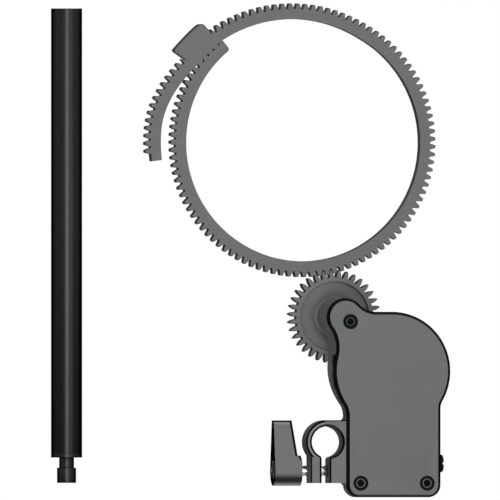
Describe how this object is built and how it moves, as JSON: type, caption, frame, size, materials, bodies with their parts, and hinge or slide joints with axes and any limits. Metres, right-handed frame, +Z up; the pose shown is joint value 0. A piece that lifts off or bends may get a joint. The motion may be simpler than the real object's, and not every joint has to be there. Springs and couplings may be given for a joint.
{
  "type": "follow focus unit",
  "caption": "Follow focus unit: gear case with a split rod clamp and lever, rear handwheel and drive gear, with a toothed belt for a lens, closed by a keeper, and a loose support rod.",
  "frame": {"origin": "on the axis of the rod clamp's bore, half way along the bore", "axes": "+Y along the clamp's bore and parallel to every gear axis, from the front cover towards the drive gear; +X towards the plain right wall of the case; +Z up, along the loose rod"},
  "size_m": [0.1946, 0.0506, 0.2379],
  "materials": {
    "case_grey": "satin dark anodised",
    "cover_grey": "fine satin grey anodised",
    "black_steel": "blackened",
    "steel": "turned",
    "bronze": "sintered",
    "gear_plastic": "moulded, matte",
    "rod_black": "black anodised, satin",
    "black_metal": "black anodised",
    "rubber": "matte",
    "friction_pad": "pressed felt"
  },
  "bodies": {
    "case": {"gear_case": "case_grey", "front_cover": "cover_grey", "cover_screws": "black_steel", "axle_screw": "black_steel", "drive_axle": "steel", "axle_washer": "steel", "axle_nut": "steel", "drive_bush": "bronze", "wheel_bush_front": "bronze", "wheel_bush_rear": "bronze", "drag_leaf": "steel", "drag_pad": "friction_pad", "clamp_insert": "steel", "rod_tube": "rod_black", "rod_end_plug": "rod_black", "rod_spigot": "black_metal", "rod_top_plug": "rod_black"},
    "handwheel_set": {"wheel_shaft": "steel", "wheel_gear": "bronze", "wheel_clip": "steel", "handwheel": "black_metal", "grip_ring": "rubber", "wheel_screw": "steel", "wheel_cap": "black_metal"},
    "drive_set": {"drive_hub": "case_grey", "drive_pinion": "steel", "hub_bushes": "bronze", "drive_gear": "gear_plastic", "gear_screws": "black_steel"},
    "belt_set": {"gear_belt": "gear_plastic", "belt_keeper": "gear_plastic", "keeper_screw": "black_steel", "keeper_insert": "bronze"},
    "thrust_washer": {"lever_washer": "steel"},
    "stud_set": {"clamp_stud": "steel", "lever_screw": "black_steel"},
    "lever_set": {"clamp_lever": "cover_grey", "lever_spring": "steel"},
    "knob_set": {"drag_knob": "black_steel"},
    "plunger_set": {"drag_plunger": "gear_plastic"}
  },
  "joints": [
    {"name": "handwheel_spin", "type": "hinge", "parent": "case", "child": "handwheel_set", "pos_m": [0.02754, 0.0214, 0.03906], "axis": [0, 1, 0], "range_deg": [-53, 95]},
    {"name": "drive_gear_spin", "type": "hinge", "parent": "case", "child": "drive_set", "pos_m": [0.0109, 0.0366, 0.0604], "axis": [0, 1, 0], "range_deg": [-381, 213]},
    {"name": "ring_spin", "type": "hinge", "parent": "case", "child": "belt_set", "pos_m": [-0.00464, 0.0366, 0.14427], "axis": [0, 1, 0], "range_deg": [-70, 125]},
    {"name": "clamp_turn", "type": "hinge", "parent": "thrust_washer", "child": "stud_set", "pos_m": [-0.01245, 0, -0.0138], "axis": [1, 0, 0], "range_deg": [-360, 1080]},
    {"name": "clamp_advance", "type": "slide", "parent": "case", "child": "thrust_washer", "axis": [1, 0, 0], "range_m": [-0.00081, 0.00241]},
    {"name": "lever_pull", "type": "slide", "parent": "stud_set", "child": "lever_set", "axis": [-1, 0, 0], "range_m": [0, 0.002], "stiffness_N_per_m": 500, "springref_m": -0.002, "deforming": ["lever_spring"]},
    {"name": "drag_turn", "type": "hinge", "parent": "case", "child": "knob_set", "pos_m": [0.0561, -0.0019, -0.0103], "axis": [-1, 0, 0], "range_deg": [0, 270]},
    {"name": "drag_press", "type": "slide", "parent": "case", "child": "plunger_set", "axis": [-1, 0, 0], "range_m": [-0.00001, 0.00061]}
  ],
  "couplings": [
    {"joint": "drive_gear_spin", "follows": "handwheel_spin", "ratio": -4},
    {"joint": "ring_spin", "follows": "handwheel_spin", "ratio": 1.3084},
    {"joint": "clamp_advance", "follows": "clamp_turn", "m_per_rad": 0.00012732},
    {"joint": "drag_press", "follows": "drag_turn", "m_per_rad": 0.00012732}
  ]
}
